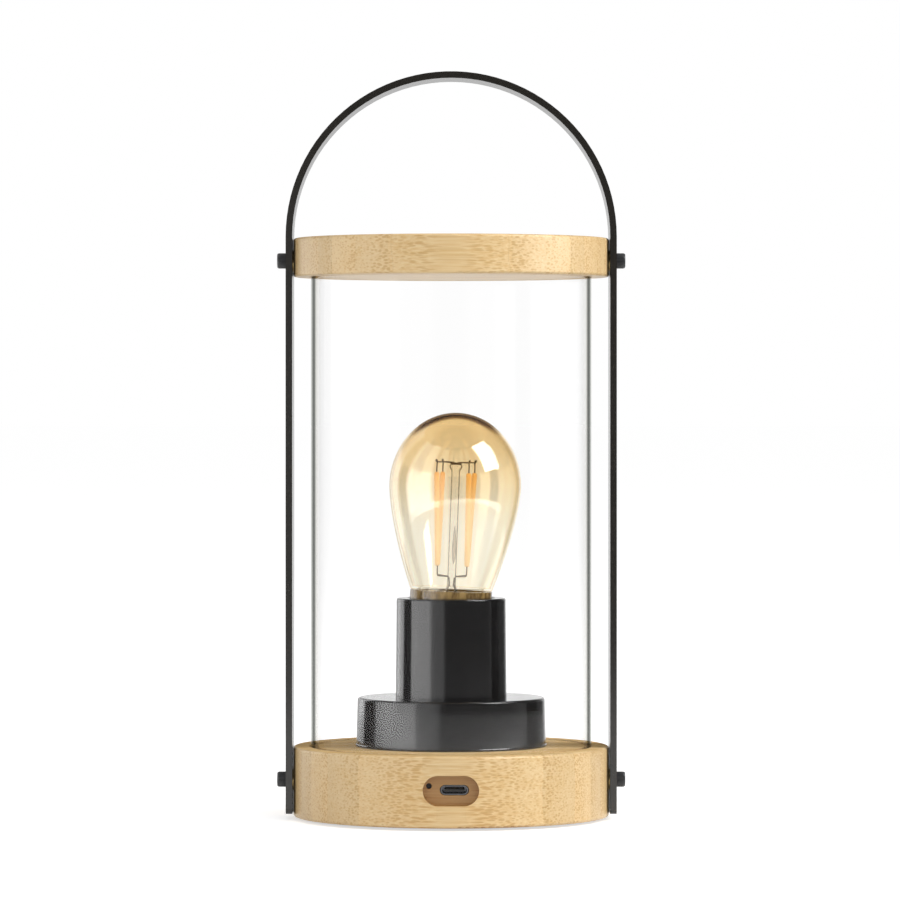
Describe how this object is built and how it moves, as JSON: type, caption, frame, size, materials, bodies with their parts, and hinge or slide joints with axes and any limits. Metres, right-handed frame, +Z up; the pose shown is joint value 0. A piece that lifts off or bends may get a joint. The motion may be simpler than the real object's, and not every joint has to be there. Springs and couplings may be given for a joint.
{
  "type": "table lamp",
  "caption": "Lantern table lamp: bamboo base and lid, glass cylinder, flat steel strap handle, amber filament bulb in a black screw holder, rechargeable through a port in the base.",
  "frame": {"origin": "centre of the footprint, on the surface the rubber feet stand on", "axes": "+Z up along the glass cylinder's axis; the charging port faces -Y; the strap handle stands in the XZ plane"},
  "size_m": [0.1222, 0.1108, 0.2616],
  "materials": {
    "bamboo": "satin",
    "black_steel": "matt powder coat",
    "black_screw": "black oxide",
    "brass": "turned",
    "clear_glass": "polished",
    "silicone": "matt",
    "holder_black": "gloss",
    "core_ceramic": "unglazed",
    "nickel": "plated",
    "steel": "zinc plated",
    "amber_glass": "polished",
    "bulb_plastic": "satin",
    "cap_glass": "gloss",
    "mount_glass": "polished",
    "support_wire": "drawn",
    "led_phosphor": "silicone coat",
    "port_steel": "stamped",
    "port_black": "moulded",
    "led_lens": "smoked",
    "board_green": "solder mask",
    "cell_wrap": "foil",
    "foam": "foam",
    "plug_white": "moulded",
    "wire_cover": "PVC",
    "cover_black": "fine texture",
    "foot_rubber": "matt",
    "button_grey": "satin"
  },
  "bodies": {
    "lamp": {"base_body": "bamboo", "top_disc": "bamboo", "glass_cylinder": "clear_glass", "lower_seal": "silicone", "upper_seal": "silicone", "handle_strap": "black_steel", "strap_screws": "black_screw", "strap_inserts": "brass", "holder_base": "holder_black", "holder_barrel": "holder_black", "holder_core": "core_ceramic", "screw_shell": "nickel", "centre_contact": "brass", "terminal_clamps": "brass", "terminal_screws": "brass", "core_screws": "steel", "holder_screws": "steel", "holder_leads": "wire_cover", "usb_shell": "port_steel", "usb_tongue": "port_black", "charge_led": "led_lens", "led_spacer": "port_black", "circuit_board": "board_green", "board_screws": "steel", "battery_cell": "cell_wrap", "battery_pad": "foam", "battery_plug": "plug_white", "battery_leads": "wire_cover", "bottom_cover": "cover_black", "cover_screws": "black_screw", "rubber_feet": "foot_rubber", "switch_body": "port_black"},
    "button": {"switch_button": "button_grey", "switch_plunger": "plug_white"},
    "bulb_slider": {"tip_contact": "brass", "cap_insulator": "cap_glass"},
    "bulb": {"bulb_glass": "amber_glass", "bulb_collar": "bulb_plastic", "bulb_cap": "nickel", "bulb_stem": "mount_glass", "led_filaments": "led_phosphor", "filament_frame": "support_wire"}
  },
  "joints": [
    {"name": "button_press", "type": "slide", "parent": "lamp", "child": "button", "axis": [0, 0, 1], "range_m": [0, 0.001], "stiffness_N_per_m": 1500},
    {"name": "bulb_lift", "type": "slide", "parent": "lamp", "child": "bulb_slider", "axis": [0, 0, 1], "range_m": [0, 0.0146]},
    {"name": "bulb_turn", "type": "hinge", "parent": "bulb_slider", "child": "bulb", "pos_m": [0, 0, 0.0799], "axis": [0, 0, 1], "range_deg": [0, 1440]}
  ],
  "couplings": [
    {"joint": "bulb_lift", "follows": "bulb_turn", "m_per_rad": 0.00057757}
  ]
}
